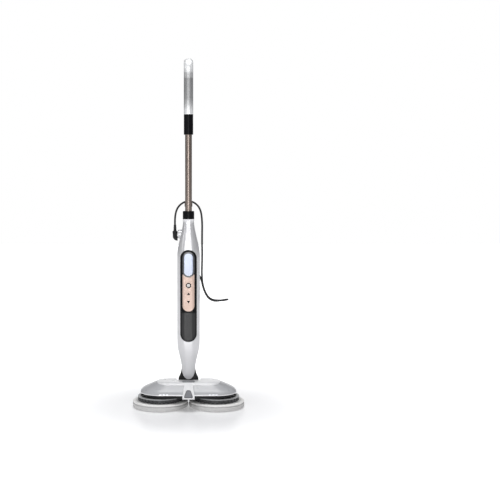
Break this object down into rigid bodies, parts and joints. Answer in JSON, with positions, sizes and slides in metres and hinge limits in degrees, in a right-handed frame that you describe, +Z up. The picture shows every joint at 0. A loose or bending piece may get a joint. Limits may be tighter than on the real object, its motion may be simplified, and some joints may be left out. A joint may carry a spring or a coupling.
{
  "type": "steam mop",
  "caption": "Upright steam mop: looped handle, slim tube, white body with control panel, and a tilting head on spinning round pads.",
  "frame": {"origin": "on the floor, midway between the two pads' centres, at the bottom centre of the mop without its cord", "axes": "+Z up along the wand, +X towards the right pad seen from the control panel, the control panel faces -Y"},
  "size_m": [0.379, 0.186, 1.184],
  "materials": {
    "white_gloss": "gloss",
    "light_grey_gloss": "satin",
    "black_gloss": "gloss",
    "black_matte": "matt",
    "smoke_panel": "high gloss",
    "rose_gold": "satin metallic",
    "window": "clear tinted",
    "dark_ring": "gloss",
    "button_light": "gloss",
    "silver_satin": "satin silver",
    "silver_inner": "matt silver",
    "grip_grey": "soft touch",
    "bronze_tube": "satin metallic",
    "holder_grey": "satin",
    "pad_cloth": "microfibre pile",
    "steel": "turned",
    "motor_can": "zinc plated",
    "gear_plastic": "acetal",
    "brass": "turned",
    "boiler_metal": "cast",
    "tank_plastic": "translucent",
    "pump_plastic": "matt",
    "steam_hose": "silicone",
    "board_green": "lacquered",
    "cord_rubber": "satin"
  },
  "bodies": {
    "head": {"head_base": "black_matte", "spindle_bushes": "brass", "gear_axles": "steel", "gearbox_plate": "black_matte", "drive_motor": "motor_can", "steam_nozzles": "brass", "head_cover": "light_grey_gloss", "top_plate": "white_gloss", "badge_plate": "light_grey_gloss", "nose_housing": "white_gloss", "nose_badge": "dark_ring", "front_light_lenses": "window", "base_screws": "steel", "pivot_pins": "steel"},
    "left_pad": {"left_mop_pad": "pad_cloth", "left_pad_holder": "holder_grey", "left_spindle": "steel", "left_pad_gear": "gear_plastic"},
    "right_pad": {"right_mop_pad": "pad_cloth", "right_pad_holder": "holder_grey", "right_spindle": "steel", "right_pad_gear": "gear_plastic"},
    "left_idler": {"left_idler_gear": "gear_plastic"},
    "right_idler": {"right_idler_gear": "gear_plastic"},
    "pinion": {"motor_pinion": "steel"},
    "yoke": {"pivot_yoke": "black_matte"},
    "power_button": {"power_button": "button_light"},
    "mode_up_button": {"mode_up_button": "black_matte"},
    "mode_down_button": {"mode_down_button": "black_matte"},
    "filler_cap": {"filler_cap": "light_grey_gloss"},
    "wand": {"front_housing": "white_gloss", "rear_housing": "white_gloss", "neck_collar": "black_gloss", "handle_sleeve": "black_gloss", "panel_bezel": "black_gloss", "cord_elbow": "black_matte", "cord_hooks": "black_matte", "cord_clip": "black_matte", "lower_panel": "smoke_panel", "control_plate": "rose_gold", "tank_window": "window", "window_ring": "dark_ring", "power_button_ring": "dark_ring", "handle_shell": "silver_satin", "handle_inner": "silver_inner", "handle_grip": "grip_grey", "wand_tube": "bronze_tube", "steer_pin": "steel", "housing_screws": "steel", "plug_blades": "brass", "boiler": "boiler_metal", "water_tank": "tank_plastic", "pump": "pump_plastic", "steam_tube": "steam_hose", "control_board": "board_green", "power_cord": "cord_rubber", "cord_hank": "cord_rubber", "strain_relief": "cord_rubber", "mains_plug": "cord_rubber", "hank_tie": "cord_rubber"}
  },
  "joints": [
    {"name": "left_pad_spin", "type": "hinge", "parent": "head", "child": "left_pad", "pos_m": [-0.0965, 0, 0.056], "axis": [0, 0, 1], "continuous": true},
    {"name": "right_pad_spin", "type": "hinge", "parent": "head", "child": "right_pad", "pos_m": [0.0965, 0, 0.056], "axis": [0, 0, 1], "continuous": true},
    {"name": "left_idler_spin", "type": "hinge", "parent": "head", "child": "left_idler", "pos_m": [-0.03217, 0, 0.056], "axis": [0, 0, 1], "continuous": true},
    {"name": "right_idler_spin", "type": "hinge", "parent": "head", "child": "right_idler", "pos_m": [0.03217, 0, 0.056], "axis": [0, 0, 1], "continuous": true},
    {"name": "pinion_spin", "type": "hinge", "parent": "head", "child": "pinion", "pos_m": [0.03217, -0.04825, 0.056], "axis": [0, 0, 1], "continuous": true},
    {"name": "wand_recline", "type": "hinge", "parent": "head", "child": "yoke", "pos_m": [0, 0.018, 0.078], "axis": [-1, 0, 0], "range_deg": [0, 65]},
    {"name": "wand_steer", "type": "hinge", "parent": "yoke", "child": "wand", "pos_m": [0, 0.011, 0.125], "axis": [0, 1, 0], "range_deg": [-25, 25]},
    {"name": "power_button_press", "type": "slide", "parent": "wand", "child": "power_button", "axis": [0, 1, 0], "range_m": [0, 0.001], "stiffness_N_per_m": 600},
    {"name": "mode_up_press", "type": "slide", "parent": "wand", "child": "mode_up_button", "axis": [0, 1, 0], "range_m": [0, 0.0008], "stiffness_N_per_m": 400},
    {"name": "mode_down_press", "type": "slide", "parent": "wand", "child": "mode_down_button", "axis": [0, 1, 0], "range_m": [0, 0.0008], "stiffness_N_per_m": 400},
    {"name": "filler_cap_hinge", "type": "hinge", "parent": "wand", "child": "filler_cap", "pos_m": [0, 0.0444, 0.515], "axis": [1, 0, 0], "range_deg": [0, 100]}
  ],
  "couplings": [
    {"joint": "right_pad_spin", "follows": "left_pad_spin", "ratio": -1},
    {"joint": "left_idler_spin", "follows": "left_pad_spin", "ratio": -1},
    {"joint": "right_idler_spin", "follows": "left_pad_spin", "ratio": 1},
    {"joint": "pinion_spin", "follows": "left_pad_spin", "ratio": -2}
  ]
}
